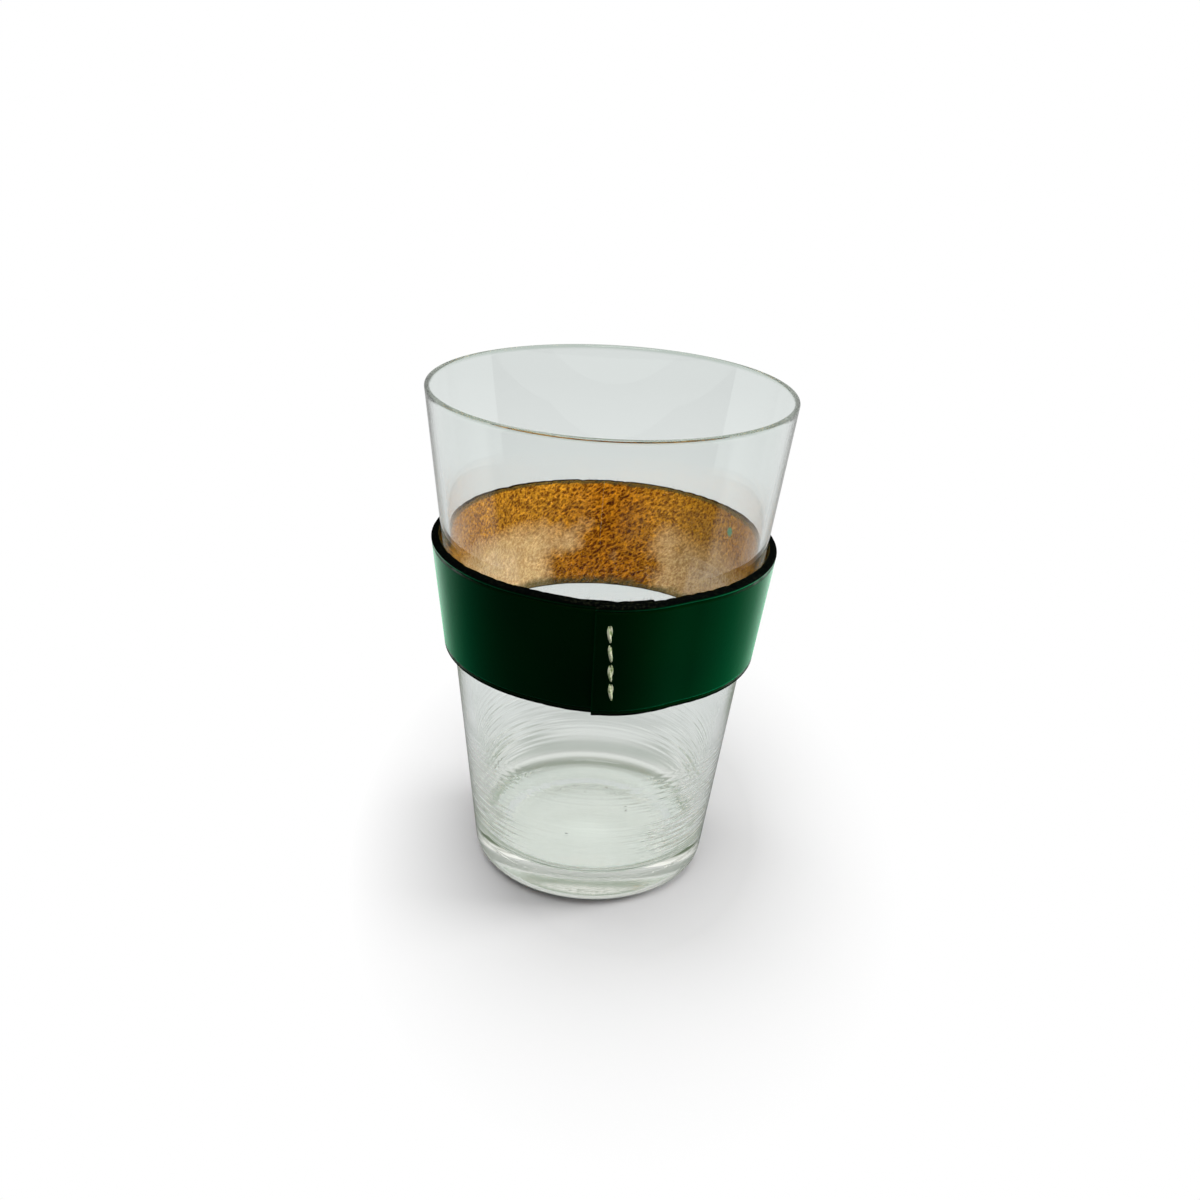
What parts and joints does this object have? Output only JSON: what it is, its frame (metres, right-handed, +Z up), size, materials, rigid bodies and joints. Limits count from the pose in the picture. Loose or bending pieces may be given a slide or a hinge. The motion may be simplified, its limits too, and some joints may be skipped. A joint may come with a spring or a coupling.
{
  "type": "drinking glass",
  "caption": "Tapered clear glass tumbler with a thick base and a sliding leather grip band, lapped and saddle-stitched at the front.",
  "frame": {"origin": "centre of the base on the table plane", "axes": "+Z up along the glass axis to the rim, -Y towards the band's stitched seam, +X to the right of the seam"},
  "size_m": [0.09, 0.0901, 0.1285],
  "materials": {
    "clear_glass": "clear, polished",
    "green_leather": "semi-gloss dyed grain outside, tan suede inside, dark burnished edges",
    "waxed_thread": "waxed, twisted"
  },
  "bodies": {
    "glass": {"tumbler": "clear_glass"},
    "band": {"leather_band": "green_leather", "stitching_thread": "waxed_thread"}
  },
  "joints": [
    {"name": "band_slide", "type": "slide", "parent": "glass", "child": "band", "axis": [0, 0, 1], "range_m": [-0.0605, 0]}
  ]
}
